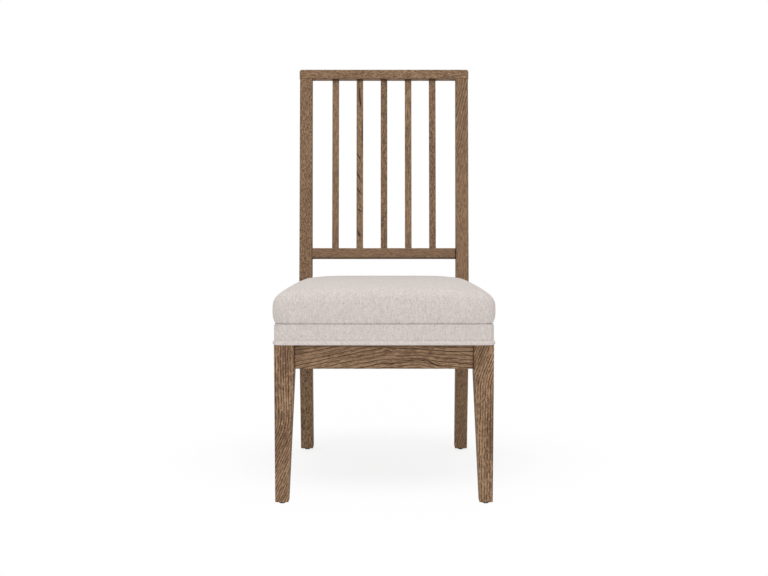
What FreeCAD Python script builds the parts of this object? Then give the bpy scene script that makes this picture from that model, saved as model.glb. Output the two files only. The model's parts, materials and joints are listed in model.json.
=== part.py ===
import FreeCAD, Part
import os
import Sketcher

# Slat back side chair, in millimetres. +Z is up, the sitter faces -Y, and +X is on the right seen from the
# front. The origin lies on the floor under the middle of the chair.

doc = FreeCAD.newDocument("SideChair")
dims = doc.addObject("Spreadsheet::Sheet", "Dims")

DRIVING = {
    # Whole chair
    "overall_height": 991.2,
    "crest_front_y": 261.4,      # front upper edge of the crest rail
    "rake_angle": 7.1,           # lean of the back, degrees
    "leg_front_y": -281.5,       # front faces of the front legs
    "frame_bottom": 289,         # underside of the aprons
    "frame_top": 340,            # top of the seat frame, where the deck lies
    # Back posts
    "post_inner_x": 185.8,
    "post_width": 32,
    "post_seat_front": 188.5,
    "post_seat_back": 232.5,
    "post_foot_front": 213.5,
    "post_foot_back": 245.5,
    "post_upper_bend": 406,      # height of the bend above the seat frame
    "post_lower_bend": 235,      # height of the bend below it
    "post_bend_radius": 800,
    # Back rails and slats, measured square to and along the raked back
    "crest_height": 23.4,
    "crest_thickness": 26,
    "crest_end_round": 6,
    "crest_overhang": 1.1,      # of each end past its post
    "rail_down": 464,            # from the top of the crest to the top of the lower rail
    "rail_height": 27,
    "rail_thickness": 20,
    "rail_setback": 5,
    "slat_width": 17,
    "slat_thickness": 12,
    "slat_setback": 9,
    "slat_pitch": 62.75,
    "tenon_width": 10,
    "tenon_thickness": 6,
    "tenon_length": 10,
    "tenon_gap": 0.1,
    "mortise_spare": 0.5,        # mortise deeper than its tenon
    # Front legs
    "leg_outer_x": 231.1,
    "leg_width": 42.2,
    "leg_depth": 38,
    "leg_foot": 28.2,
    "leg_taper_top": 280,
    "leg_bend_radius": 300,      # eases the start of the taper
    # Aprons and corner blocks
    "apron_setback": 9,
    "apron_thickness": 22,
    "rear_apron_setback": 10.5,
    "block_bottom": 312,
    "block_reach": 68,
    # Rounded edges
    "edge_round": 2.4,
    "slat_round": 1.6,
    "rail_round": 2.2,
    # Dowels
    "dowel_radius": 4,
    "small_dowel_radius": 3,
    "dowel_length": 40,
    "dowel_low_share": 0.3,      # places of a joint's two dowels, as shares of its height or width
    "dowel_high_share": 0.7,
    "dowel_chamfer": 0.8,
    "side_dowel_drop": 8.5,      # side apron dowels pass under those of the front and rear aprons
    "crest_dowel_drop": 6,       # middle of a crest dowel below its joint
    "hole_gap": 0.1,             # between a dowel, screw, nail or staple and its hole
    "hole_end_gap": 1,           # hole deeper than what is in it
    # Screws, nails and staples
    "screw_radius": 2,
    "screw_head_radius": 4,
    "screw_head_height": 3,
    "screw_length": 28,
    "screw_along": 24,           # corner block screw from the thin end of its block
    "screw_seat": 11,            # underside of its head from the apron
    "screw_bore_radius": 4.5,
    "screw_bore_length": 20,
    "seat_screw_length": 35,
    "seat_screw_in": 25,         # seat screw from the apron and from the leg
    "nail_radius": 1.25,
    "nail_length": 20,
    "staple_width": 10,
    "staple_wire": 1,
    "staple_depth": 6,
    "staple_inset": 5,
    "staple_spread": 0.8,        # outer staples, as a share of half the edge that they hold
    # Glides
    "glide_radius": 8,
    "glide_height": 5,
    "glide_round": 3,
    # Seat plan, near the outer faces of the legs and posts
    "seat_half_front": 230.2,
    "seat_half_rear": 217,
    "seat_rear_y": 221.5,
    "seat_corner": 12,           # of the deck, welt and band
    "cushion_corner": 23,        # of the cover and foam
    # Upholstery, offsets measured outwards from the seat plan
    "deck_thickness": 9,
    "deck_offset": -5,
    "welt_radius": 4.5,
    "welt_offset": -0.2,
    "band_offset": 1.6,
    "band_height": 36,
    "cover_offset": 5.4,
    "cloth": 2,                  # thickness of cover and band with their wadding
    "foam_gap": 0.3,
    "crown_top": 466.5,
    "crown_radius": 2900,
    "shoulder_round": 27,
    "seam_round": 13,            # roll of the cover under its sides, down to the seam
    "seam_trim": 2,
    "post_clearance": 0.6,       # upholstery to post
    "notch_lean_bottom": 380,
    "notch_lean_top": 500,
    "notch_lean": 7.9,
    "dust_inset": 4,
    "dust_thickness": 0.8,
    # Cutting bodies reach past the piece that they cut
    "cutter": 800,
}
for row, (alias, value) in enumerate(DRIVING.items(), start=1):
    dims.set(f"A{row}", alias.replace("_", " "))
    dims.set(f"B{row}", str(value))
    dims.setAlias(f"B{row}", alias)
doc.recompute()

pieces = {}
SIDES = (("left", -1), ("right", 1))
SLATS = 5
X_AXIS = FreeCAD.Vector(1, 0, 0)
Y_AXIS = FreeCAD.Vector(0, 1, 0)
UPRIGHT = FreeCAD.Rotation()
NEAR = 0.1                       # tolerance for telling edges apart by place

# Places worked out from the driving sizes
seat_bottom = "(Dims.frame_top + Dims.deck_thickness)"
seam_height = f"({seat_bottom} + Dims.band_height)"
post_outer_x = "(Dims.post_inner_x + Dims.post_width)"
leg_inner_x = "(Dims.leg_outer_x - Dims.leg_width)"
leg_back_y = "(Dims.leg_front_y + Dims.leg_depth)"
apron_front_y = "(Dims.leg_front_y + Dims.apron_setback)"
apron_inner_y = f"({apron_front_y} + Dims.apron_thickness)"
rear_apron_back = "(Dims.post_seat_back - Dims.rear_apron_setback)"
rear_apron_front = f"({rear_apron_back} - Dims.apron_thickness)"
apron_height = "(Dims.frame_top - Dims.frame_bottom)"
block_height = "(Dims.frame_top - Dims.block_bottom)"
side_lean = f"((Dims.leg_outer_x - {post_outer_x}) / (Dims.post_seat_front - {leg_back_y}))"


def value_of(expression):
    return float(dims.evalExpression(expression))


def point_on_back(square, down):
    # Y and Z of a point given square to the raked back and down along it from the crest's front upper edge.
    y = f"(Dims.crest_front_y + ({square}) * cos(Dims.rake_angle) - ({down}) * sin(Dims.rake_angle))"
    z = f"(Dims.overall_height - ({square}) * sin(Dims.rake_angle) - ({down}) * cos(Dims.rake_angle))"
    return y, z


def side_apron_inner(y):
    # X of the side apron's inner face, which runs in towards the posts.
    front_x = "(Dims.leg_outer_x - Dims.apron_setback - Dims.apron_thickness)"
    return f"({front_x} - {side_lean} * (({y}) - {leg_back_y}))"


def bind(thing, sizes):
    for prop, expression in sizes.items():
        thing.setExpression(prop, expression)
    return thing


def place(thing, corner, turn=UPRIGHT):
    thing.Placement = FreeCAD.Placement(FreeCAD.Vector(), turn)
    return bind(thing, {f"Placement.Base.{axis}": text for axis, text in zip("xyz", corner)})


def lean_with_back(thing):
    # Local x, y, z become across, square to and up along the raked back.
    turn = FreeCAD.Rotation(X_AXIS, -value_of("Dims.rake_angle"))
    place(thing, ("0", "Dims.crest_front_y", "Dims.overall_height"), turn)
    return bind(thing, {"Placement.Rotation.Angle": "-Dims.rake_angle"})


def keep(node, thing):
    thing.Label = node
    pieces[node] = thing


def new_body(name):
    return doc.addObject("PartDesign::Body", name)


def bind_constraint(sketch, index, name, expression):
    sketch.renameConstraint(index, name)
    sketch.setExpression(f"Constraints.{name}", expression)


def pad_polygon(body, role, points, length, backwards=False, bends=()):
    # Pads a straight-sided outline whose corners are held by their distances from the body's origin. Each of
    # bends is (corner, radius), for a corner that becomes an arc.
    plane = next(feature for feature in body.Origin.OriginFeatures if feature.Role == role)
    sketch = body.newObject("Sketcher::SketchObject", body.Name + "Outline")
    sketch.AttachmentSupport = (plane, [""])
    sketch.MapMode = "FlatFace"
    corners = [FreeCAD.Vector(value_of(a), value_of(b), 0) for a, b in points]
    following = corners[1:] + corners[:1]
    for here, there in zip(corners, following):
        sketch.addGeometry(Part.LineSegment(here, there))
    for i in range(len(corners)):
        sketch.addConstraint(Sketcher.Constraint("Coincident", i, 2, (i + 1) % len(corners), 1))
    for i, (a, b) in enumerate(points):
        for axis, text in (("X", a), ("Y", b)):
            held = sketch.addConstraint(Sketcher.Constraint("Distance" + axis, i, 1, value_of(text)))
            bind_constraint(sketch, held, f"corner{i}{axis}", text)
    for i, radius in bends:
        sketch.fillet(i, 1, value_of(radius), True, True)
        arc = sketch.GeometryCount - 2
        held = sketch.addConstraint(Sketcher.Constraint("Radius", arc, value_of(radius)))
        bind_constraint(sketch, held, f"bend{i}", radius)
    pad = body.newObject("PartDesign::Pad", body.Name + "Pad")
    pad.Profile = sketch
    pad.Reversed = backwards
    bind(pad, {"Length": length})
    doc.recompute()


def add_block(body, corner, sizes):
    block = body.newObject("PartDesign::AdditiveBox", body.Name + "Block")
    bind(block, dict(zip(("Length", "Width", "Height"), sizes)))
    place(block, corner)
    doc.recompute()


def round_edges(body, radius, wanted):
    # Rounds the edges of the body's last feature for which wanted(edge) holds.
    base = body.Tip
    names = [f"Edge{i}" for i, edge in enumerate(base.Shape.Edges, start=1) if wanted(edge)]
    rounding = body.newObject("PartDesign::Fillet", body.Name + "Round")
    rounding.Base = (base, names)
    bind(rounding, {"Radius": radius})
    doc.recompute()


def runs_along(edge, axis):
    # True for an edge whose ends differ mostly along the given axis: 0, 1 and 2 for x, y and z.
    ends = [vertex.Point for vertex in edge.Vertexes]
    span = [abs(a - b) for a, b in zip(ends[0], ends[-1])]
    return span[axis] == max(span)


def middle(edge):
    return edge.valueAt((edge.FirstParameter + edge.LastParameter) / 2)


def common_with(body, other):
    both = body.newObject("PartDesign::Boolean", body.Name + "Common")
    both.Type = "Common"
    both.Group = [other]
    doc.recompute()


def gather(name, things):
    group = doc.addObject("Part::Compound", name)
    group.Links = things
    return group


def join(name, base, tool):
    fused = doc.addObject("Part::Fuse", name)
    fused.Base = base
    fused.Tool = tool
    return fused


def cut(name, base, tools):
    result = doc.addObject("Part::Cut", name)
    result.Base = base
    result.Tool = gather(name + "Tools", tools) if len(tools) > 1 else tools[0]
    doc.recompute()
    return result


def box(name, corner, sizes):
    block = doc.addObject("Part::Box", name)
    bind(block, dict(zip(("Length", "Width", "Height"), sizes)))
    return place(block, corner)


# The turn of a rod that starts along +Z, and the way it then points
WAYS = {
    "right": (FreeCAD.Rotation(Y_AXIS, 90), ("1", "0", "0")),
    "left": (FreeCAD.Rotation(Y_AXIS, -90), ("-1", "0", "0")),
    "rear": (FreeCAD.Rotation(X_AXIS, -90), ("0", "1", "0")),
    "front": (FreeCAD.Rotation(X_AXIS, 90), ("0", "-1", "0")),
    "up": (UPRIGHT, ("0", "0", "1")),
    "up the back": (FreeCAD.Rotation(X_AXIS, -value_of("Dims.rake_angle")),
                    ("0", "sin(Dims.rake_angle)", "cos(Dims.rake_angle)")),
}


def rod(name, radius, length, start, way, setback="0"):
    # A round rod that starts at start, or setback before it, and points along way.
    turn, step = WAYS[way]
    base = [f"({at}) - ({part}) * ({setback})" for at, part in zip(start, step)]
    made = doc.addObject("Part::Cylinder", name)
    bind(made, {"Radius": radius, "Height": length})
    return place(made, base, turn)


def dowel_with_hole(name, radius, centre, way):
    # A chamfered dowel and its drilled hole, both centred on the joint.
    half = "(Dims.dowel_length / 2)"
    half_hole = f"({half} + Dims.hole_end_gap)"
    plain = rod(name + "_plain", radius, f"2 * {half}", centre, way, half)
    hole = rod(name + "_hole", f"{radius} + Dims.hole_gap", f"2 * {half_hole}", centre, way, half_hole)
    doc.recompute()
    size = value_of("Dims.dowel_chamfer")
    rims = [i for i, edge in enumerate(plain.Shape.Edges, start=1) if edge.isClosed()]
    dowel = doc.addObject("Part::Chamfer", name)
    dowel.Base = plain
    dowel.Edges = [(i, size, size) for i in rims]
    return dowel, hole


def screw_with_holes(name, seat, way, length, sunk):
    # A screw whose head bears at seat, the hole for its shank and, where sunk, the bore for its head.
    shank = rod(name + "_shank", "Dims.screw_radius", length, seat, way)
    head_height = "Dims.screw_head_height"
    head = rod(name + "_head", "Dims.screw_head_radius", head_height, seat, way, head_height)
    hole_length = f"{length} + Dims.hole_end_gap"
    tools = [rod(name + "_hole", "Dims.screw_radius + Dims.hole_gap", hole_length, seat, way)]
    if sunk:
        bore_length = "Dims.screw_bore_length"
        tools.append(rod(name + "_bore", "Dims.screw_bore_radius", bore_length, seat, way, bore_length))
    return join(name, head, shank), tools


# Dowels of the frame joints, two to each joint
holes = {}
for joint in ("crest", "lower_rail", "front_apron", "side_apron", "rear_apron"):
    holes[joint] = {"left": [], "right": []}
    dowels = []
    for side, sign in SIDES:
        spots = []
        for share in ("Dims.dowel_low_share", "Dims.dowel_high_share"):
            drop = "Dims.side_dowel_drop" if joint == "side_apron" else "0"
            level = f"(Dims.frame_bottom + {share} * {apron_height} - {drop})"
            if joint == "crest":
                across = f"{sign} * (Dims.post_inner_x + {share} * Dims.post_width)"
                y, z = point_on_back("Dims.crest_thickness / 2", "Dims.crest_height + Dims.crest_dowel_drop")
                spots.append(((across, y, z), "up the back", "Dims.small_dowel_radius"))
            elif joint == "lower_rail":
                y, z = point_on_back("Dims.rail_setback + Dims.rail_thickness / 2",
                                     f"Dims.rail_down + {share} * Dims.rail_height")
                spots.append(((f"{sign} * Dims.post_inner_x", y, z), "right", "Dims.small_dowel_radius"))
            elif joint == "front_apron":
                y = f"({apron_front_y} + Dims.apron_thickness / 2)"
                spots.append(((f"{sign} * {leg_inner_x}", y, level), "right", "Dims.dowel_radius"))
            elif joint == "rear_apron":
                y = f"({rear_apron_front} + Dims.apron_thickness / 2)"
                spots.append(((f"{sign} * Dims.post_inner_x", y, level), "right", "Dims.small_dowel_radius"))
            else:
                for y in (leg_back_y, "Dims.post_seat_front"):
                    across = f"{sign} * ({side_apron_inner(y)} + Dims.apron_thickness / 2)"
                    spots.append(((across, y, level), "rear", "Dims.small_dowel_radius"))
        for number, (centre, way, radius) in enumerate(spots, start=1):
            dowel, hole = dowel_with_hole(f"{joint}_dowel_{side}_{number}", radius, centre, way)
            dowels.append(dowel)
            holes[joint][side].append(hole)
    keep(f"{joint}_dowels", gather(f"{joint}_dowel_group", dowels))


def both_sides(joint):
    return holes[joint]["left"] + holes[joint]["right"]


# Glides and their nails, under the middle of each foot
nails = []
nail_holes = {}
for side, sign in SIDES:
    feet = {
        "front": (f"{sign} * (Dims.leg_outer_x - Dims.leg_foot / 2)", "Dims.leg_front_y + Dims.leg_foot / 2"),
        "rear": (f"{sign} * (Dims.post_inner_x + Dims.post_width / 2)",
                 "(Dims.post_foot_front + Dims.post_foot_back) / 2"),
    }
    for end, (x, y) in feet.items():
        foot = f"{end}_{side}"
        start = (x, y, "Dims.glide_height / 2")
        nails.append(rod(f"nail_{foot}", "Dims.nail_radius", "Dims.nail_length", start, "up"))
        nail_holes[foot] = rod(f"nail_hole_{foot}", "Dims.nail_radius + Dims.hole_gap",
                               "Dims.nail_length + Dims.hole_end_gap", start, "up")
        glide = new_body(f"Glide_{foot}")
        dome = glide.newObject("PartDesign::AdditiveCylinder", f"Dome_{foot}")
        bind(dome, {"Radius": "Dims.glide_radius", "Height": "Dims.glide_height"})
        doc.recompute()
        round_edges(glide, "Dims.glide_round", lambda edge: edge.isClosed() and middle(edge).z < NEAR)
        place(glide, (x, y, "0"))
        keep(f"leg_glide_{foot}", cut(f"glide_drilled_{foot}", glide, [nail_holes[foot]]))
keep("glide_nails", gather("glide_nail_group", nails))

# Back posts: a side outline padded across, with a large radius at each bend
post_outline = (
    ("Dims.post_foot_front", "Dims.glide_height"),
    ("Dims.post_foot_back", "Dims.glide_height"),
    ("Dims.post_seat_back", "Dims.post_lower_bend"),
    ("Dims.post_seat_back", "Dims.post_upper_bend"),
    point_on_back("Dims.crest_thickness", "Dims.crest_height"),
    point_on_back("0", "Dims.crest_height"),
    ("Dims.post_seat_front", "Dims.post_upper_bend"),
    ("Dims.post_seat_front", "Dims.post_lower_bend"),
)
post_bends = [(corner, "Dims.post_bend_radius") for corner in (2, 3, 6, 7)]
post_top = value_of(post_outline[4][1])
for side, sign in SIDES:
    post = new_body(f"Post_{side}")
    pad_polygon(post, "YZ_Plane", post_outline, "Dims.post_width", bends=post_bends)
    round_edges(post, "Dims.edge_round",
                lambda edge: not runs_along(edge, 0) and middle(edge).z < post_top - NEAR)
    place(post, ("Dims.post_inner_x" if sign > 0 else f"-{post_outer_x}", "0", "0"))
    tools = [nail_holes[f"rear_{side}"]]
    for joint in ("crest", "lower_rail", "side_apron", "rear_apron"):
        tools += holes[joint][side]
    keep(f"back_post_{side}", cut(f"post_drilled_{side}", post, tools))

# Slats with a shouldered tenon at each end, and the mortises for them
mortises = {"crest": [], "rail": []}
for number in range(1, SLATS + 1):
    across = f"({number} - {(SLATS + 1) / 2}) * Dims.slat_pitch"
    slat = new_body(f"Slat_{number}")
    add_block(slat, (f"{across} - Dims.slat_width / 2", "Dims.slat_setback", "-Dims.rail_down"),
              ("Dims.slat_width", "Dims.slat_thickness", "Dims.rail_down - Dims.crest_height"))
    round_edges(slat, "Dims.slat_round", lambda edge: runs_along(edge, 2))
    tenon_x = f"{across} - Dims.tenon_width / 2"
    tenon_y = "Dims.slat_setback + (Dims.slat_thickness - Dims.tenon_thickness) / 2"
    rail_tenon = "-Dims.rail_down - Dims.tenon_length"
    ends = {
        "crest": ("-Dims.crest_height", "-Dims.crest_height"),
        "rail": (rail_tenon, f"{rail_tenon} - Dims.mortise_spare"),
    }
    for end, (tenon_low, mortise_low) in ends.items():
        add_block(slat, (tenon_x, tenon_y, tenon_low),
                  ("Dims.tenon_width", "Dims.tenon_thickness", "Dims.tenon_length"))
        mortise = new_body(f"Mortise_{end}_{number}")
        add_block(mortise, (f"{tenon_x} - Dims.tenon_gap", f"{tenon_y} - Dims.tenon_gap", mortise_low),
                  ("Dims.tenon_width + 2 * Dims.tenon_gap", "Dims.tenon_thickness + 2 * Dims.tenon_gap",
                   "Dims.tenon_length + Dims.mortise_spare"))
        mortises[end].append(lean_with_back(mortise))
    keep(f"back_slat_{number}", lean_with_back(slat))

# Crest rail over the posts and lower rail between them
crest = new_body("Crest")
crest_end_x = f"({post_outer_x} + Dims.crest_overhang)"
add_block(crest, (f"-{crest_end_x}", "0", "-Dims.crest_height"),
          (f"2 * {crest_end_x}", "Dims.crest_thickness", "Dims.crest_height"))
round_edges(crest, "Dims.crest_end_round", lambda edge: runs_along(edge, 1) and middle(edge).z > -NEAR)
round_edges(crest, "Dims.rail_round", lambda edge: not runs_along(edge, 1))
keep("crest_rail", cut("crest_drilled", lean_with_back(crest), both_sides("crest") + mortises["crest"]))

rail = new_body("LowerRail")
add_block(rail, ("-Dims.post_inner_x", "Dims.rail_setback", "-Dims.rail_down - Dims.rail_height"),
          ("2 * Dims.post_inner_x", "Dims.rail_thickness", "Dims.rail_height"))
round_edges(rail, "Dims.rail_round", lambda edge: runs_along(edge, 0))
rail_tools = both_sides("lower_rail") + mortises["rail"]
keep("lower_back_rail", cut("rail_drilled", lean_with_back(rail), rail_tools))

# Front legs: the right one is what a tapered front view and a tapered side view share, the left is its mirror
leg_bend = [(2, "Dims.leg_bend_radius")]
leg = new_body("LegRight")
pad_polygon(leg, "XZ_Plane", (
    ("Dims.leg_outer_x", "Dims.glide_height"),
    ("Dims.leg_outer_x - Dims.leg_foot", "Dims.glide_height"),
    (leg_inner_x, "Dims.leg_taper_top"),
    (leg_inner_x, "Dims.frame_top"),
    ("Dims.leg_outer_x", "Dims.frame_top"),
), "Dims.cutter", bends=leg_bend)
side_view = new_body("LegSideView")
pad_polygon(side_view, "YZ_Plane", (
    ("Dims.leg_front_y", "Dims.glide_height"),
    ("Dims.leg_front_y + Dims.leg_foot", "Dims.glide_height"),
    (leg_back_y, "Dims.leg_taper_top"),
    (leg_back_y, "Dims.frame_top"),
    ("Dims.leg_front_y", "Dims.frame_top"),
), "Dims.cutter", bends=leg_bend)
common_with(leg, side_view)
round_edges(leg, "Dims.edge_round", lambda edge: runs_along(edge, 2))
mirrored_leg = doc.addObject("Part::Mirroring", "LegLeft")
mirrored_leg.Source = leg
mirrored_leg.Normal = X_AXIS
for side, whole in (("left", mirrored_leg), ("right", leg)):
    tools = holes["front_apron"][side] + holes["side_apron"][side] + [nail_holes[f"front_{side}"]]
    keep(f"front_leg_{side}", cut(f"leg_drilled_{side}", whole, tools))

# Corner blocks, with the screws that hold them to the aprons and the seat to them
block_screws = []
block_holes = {"front_apron": [], "rear_apron": [], "side_apron_left": [], "side_apron_right": []}
seat_screws = []
seat_holes = []
screw_level = f"(Dims.block_bottom + {block_height} / 2)"
for side, sign in SIDES:
    # For each end: the way inwards, the apron's inner face, the end of the side apron, and the inner face of
    # the leg or post
    corners = {
        "front": (1, apron_inner_y, leg_back_y, leg_inner_x),
        "rear": (-1, rear_apron_front, "Dims.post_seat_front", "Dims.post_inner_x"),
    }
    for end, (inwards, apron_y, shoulder_y, inner_x) in corners.items():
        name = f"{end}_{side}"
        reach_x = f"({inner_x} - Dims.block_reach)"
        reach_y = f"({apron_y} + {inwards} * Dims.block_reach)"
        block = new_body(f"CornerBlock_{name}")
        pad_polygon(block, "XY_Plane", (
            (f"{sign} * {side_apron_inner(reach_y)}", reach_y),
            (f"{sign} * {side_apron_inner(shoulder_y)}", shoulder_y),
            (f"{sign} * {inner_x}", shoulder_y),
            (f"{sign} * {inner_x}", apron_y),
            (f"{sign} * {reach_x}", apron_y),
        ), block_height)
        place(block, ("0", "0", "Dims.block_bottom"))

        apron_seat = (f"{sign} * ({reach_x} + Dims.screw_along)",
                      f"{apron_y} + {inwards} * Dims.screw_seat", screw_level)
        side_y = f"({reach_y} - {inwards} * Dims.screw_along)"
        side_seat = (f"{sign} * ({side_apron_inner(side_y)} - Dims.screw_seat)", side_y, screw_level)
        own_holes = []
        seats = ((f"{end}_apron", apron_seat, end), (f"side_apron_{side}", side_seat, side))
        for rail_name, seat, way in seats:
            label = f"block_screw_{name}_{rail_name}"
            screw, tools = screw_with_holes(label, seat, way, "Dims.screw_length", True)
            block_screws.append(screw)
            block_holes[rail_name].append(tools[0])
            own_holes += tools

        seat = (f"{sign} * ({inner_x} - Dims.seat_screw_in)", f"{apron_y} + {inwards} * Dims.seat_screw_in",
                "Dims.block_bottom")
        screw, tools = screw_with_holes(f"seat_screw_{name}", seat, "up", "Dims.seat_screw_length", False)
        seat_screws.append(screw)
        seat_holes += tools
        keep(f"corner_block_{name}", cut(f"block_drilled_{name}", block, own_holes + tools))
keep("corner_block_screws", gather("block_screw_group", block_screws))
keep("seat_screws", gather("seat_screw_group", seat_screws))

# Aprons
front_face = value_of(apron_front_y)
low_face = value_of("Dims.frame_bottom")
apron = new_body("FrontApron")
add_block(apron, (f"-{leg_inner_x}", apron_front_y, "Dims.frame_bottom"),
          (f"2 * {leg_inner_x}", "Dims.apron_thickness", apron_height))
round_edges(apron, "Dims.edge_round", lambda edge: middle(edge).y < front_face + NEAR
            or runs_along(edge, 0) and middle(edge).z < low_face + NEAR)
keep("front_apron", cut("front_apron_drilled", apron, both_sides("front_apron") + block_holes["front_apron"]))

apron = new_body("RearApron")
add_block(apron, ("-Dims.post_inner_x", rear_apron_front, "Dims.frame_bottom"),
          ("2 * Dims.post_inner_x", "Dims.apron_thickness", apron_height))
round_edges(apron, "Dims.edge_round", lambda edge: runs_along(edge, 0) and middle(edge).z < low_face + NEAR)
keep("rear_apron", cut("rear_apron_drilled", apron, both_sides("rear_apron") + block_holes["rear_apron"]))

for side, sign in SIDES:
    apron = new_body(f"SideApron_{side}")
    front_inner = side_apron_inner(leg_back_y)
    rear_inner = side_apron_inner("Dims.post_seat_front")
    pad_polygon(apron, "XY_Plane", (
        (f"{sign} * {front_inner}", leg_back_y),
        (f"{sign} * ({front_inner} + Dims.apron_thickness)", leg_back_y),
        (f"{sign} * ({rear_inner} + Dims.apron_thickness)", "Dims.post_seat_front"),
        (f"{sign} * {rear_inner}", "Dims.post_seat_front"),
    ), apron_height)
    round_edges(apron, "Dims.edge_round", lambda edge: runs_along(edge, 1) and middle(edge).z < NEAR)
    place(apron, ("0", "0", "Dims.frame_bottom"))
    tools = holes["side_apron"][side] + block_holes[f"side_apron_{side}"]
    keep(f"side_apron_{side}", cut(f"side_apron_drilled_{side}", apron, tools))


# Upholstery
def seat_prism(name, offset, bottom, height, corner="Dims.seat_corner"):
    # A prism on the seat plan, grown outwards by offset, with rounded upright corners.
    front_y = f"(Dims.leg_front_y - ({offset}))"
    rear_y = f"(Dims.seat_rear_y + ({offset}))"
    half_front = f"(Dims.seat_half_front + ({offset}))"
    half_rear = f"(Dims.seat_half_rear + ({offset}))"
    body = new_body(name)
    pad_polygon(body, "XY_Plane", (
        (f"-{half_front}", front_y), (half_front, front_y), (half_rear, rear_y), (f"-{half_rear}", rear_y),
    ), height)
    round_edges(body, f"{corner} + ({offset})", lambda edge: runs_along(edge, 2))
    return place(body, ("0", "0", bottom))


def post_notch(name, gap):
    # What the seat leaves clear for the two posts, whose front faces start to lean back at seat height.
    front = f"(Dims.post_seat_front - ({gap}))"
    halves = []
    for side, sign in SIDES:
        notch = new_body(f"{name}_{side}")
        pad_polygon(notch, "YZ_Plane", (
            (front, "0"), ("Dims.cutter", "0"), ("Dims.cutter", "Dims.notch_lean_top"),
            (f"{front} + Dims.notch_lean", "Dims.notch_lean_top"), (front, "Dims.notch_lean_bottom"),
        ), "Dims.cutter", backwards=sign < 0)
        halves.append(place(notch, (f"{sign} * (Dims.post_inner_x - ({gap}))", "0", "0")))
    return gather(name, halves)


def crowned_cushion(name, inset):
    # The upper cushion: a prism under a shallow dome, with rolled shoulders and sides drawn in at the seam.
    low = f"({seam_height} - Dims.seam_trim)"
    body = seat_prism(name, f"Dims.cover_offset - ({inset})", low, "Dims.cutter", "Dims.cushion_corner")
    dome = new_body(name + "Dome")
    ball = dome.newObject("PartDesign::AdditiveSphere", name + "Ball")
    bind(ball, {"Radius": f"Dims.crown_radius - ({inset})"})
    ball.Placement = FreeCAD.Placement(FreeCAD.Vector(), FreeCAD.Rotation(X_AXIS, -90))
    dome_z = f"Dims.crown_top - Dims.crown_radius - {low}"
    place(dome, ("0", "(Dims.leg_front_y + Dims.seat_rear_y) / 2", dome_z))
    common_with(body, dome)
    round_edges(body, f"Dims.shoulder_round - ({inset})",
                lambda edge: not runs_along(edge, 2) and middle(edge).z > NEAR)
    round_edges(body, "Dims.seam_round", lambda edge: middle(edge).z < NEAR)
    trim = body.newObject("PartDesign::SubtractiveBox", name + "Trim")
    bind(trim, {"Length": "Dims.cutter", "Width": "Dims.cutter", "Height": "Dims.seam_trim"})
    place(trim, ("-Dims.cutter / 2", "-Dims.cutter / 2", "0"))
    doc.recompute()
    return body


outer_notch = post_notch("OuterNotch", "Dims.post_clearance")
inner_notch = post_notch("InnerNotch", "Dims.post_clearance + Dims.cloth")
foam_notch = post_notch("FoamNotch", "Dims.post_clearance + Dims.cloth + Dims.foam_gap")

cover_outer = cut("CoverOuter", crowned_cushion("Cover", "0"), [outer_notch])
cover_inner = cut("CoverInner", crowned_cushion("CoverInside", "Dims.cloth"), [inner_notch])
keep("seat_cover", cut("CoverShell", cover_outer, [cover_inner]))

band_outside = seat_prism("Band", "Dims.band_offset", seat_bottom, "Dims.band_height")
band_inside = seat_prism("BandInside", "Dims.band_offset - Dims.cloth", seat_bottom, "Dims.band_height")
band_inner = cut("BandInner", band_inside, [inner_notch])
keep("seat_band", cut("BandRing", cut("BandOuter", band_outside, [outer_notch]), [band_inner]))

foam_offset = "Dims.band_offset - Dims.cloth - Dims.foam_gap"
foam_low = seat_prism("FoamLow", foam_offset, seat_bottom, "Dims.band_height", "Dims.cushion_corner")
foam = join("FoamBlock", foam_low, crowned_cushion("FoamHigh", "Dims.cloth + Dims.foam_gap"))
keep("seat_foam", cut("FoamNotched", foam, [foam_notch]))

# The welt is a round section carried round the seat plan and parted at the posts
welt_level = "(Dims.frame_top + Dims.deck_thickness / 2)"
welt_path = seat_prism("WeltPath", "Dims.welt_offset", welt_level, "Dims.deck_thickness")
welt_section = doc.addObject("Part::Circle", "WeltSection")
bind(welt_section, {"Radius": "Dims.welt_radius"})
place(welt_section, ("0", "Dims.leg_front_y - Dims.welt_offset", welt_level), WAYS["right"][0])
doc.recompute()
level = value_of(welt_level)
welt = doc.addObject("Part::Sweep", "WeltRoll")
welt.Sections = [welt_section]
welt.Spine = (welt_path, [f"Edge{i}" for i, edge in enumerate(welt_path.Shape.Edges, start=1)
                          if edge.BoundBox.ZMax < level + NEAR])
welt.Solid = True
doc.recompute()
cutter_box = ("Dims.cutter", "Dims.cutter", "Dims.cutter")
cutter_x = "-Dims.cutter / 2"
behind_posts = box("BehindPosts", (cutter_x, "Dims.post_seat_front - Dims.post_clearance", "0"), cutter_box)
before_posts = box("BeforePosts", (cutter_x, "Dims.post_seat_front - Dims.cutter", "0"), cutter_box)
keep("seat_welt", cut("WeltFront", welt, [behind_posts]))
keep("seat_welt_rear", cut("WeltRear", welt, [outer_notch, before_posts]))

# Dust cover under the deck, inside the aprons and clear of the corner blocks, with its staples
corner_cut = "(Dims.block_reach + Dims.dust_inset)"
dust_front = f"({apron_inner_y} + Dims.dust_inset)"
dust_rear = f"({rear_apron_front} - Dims.dust_inset)"
dust_front_side = f"({dust_front} + {corner_cut})"
dust_rear_side = f"({dust_rear} - {corner_cut})"
dust_half_front = f"({leg_inner_x} - {corner_cut})"
dust_half_rear = f"(Dims.post_inner_x - {corner_cut})"


def dust_edge(y):
    return f"({side_apron_inner(y)} - Dims.dust_inset)"


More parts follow.
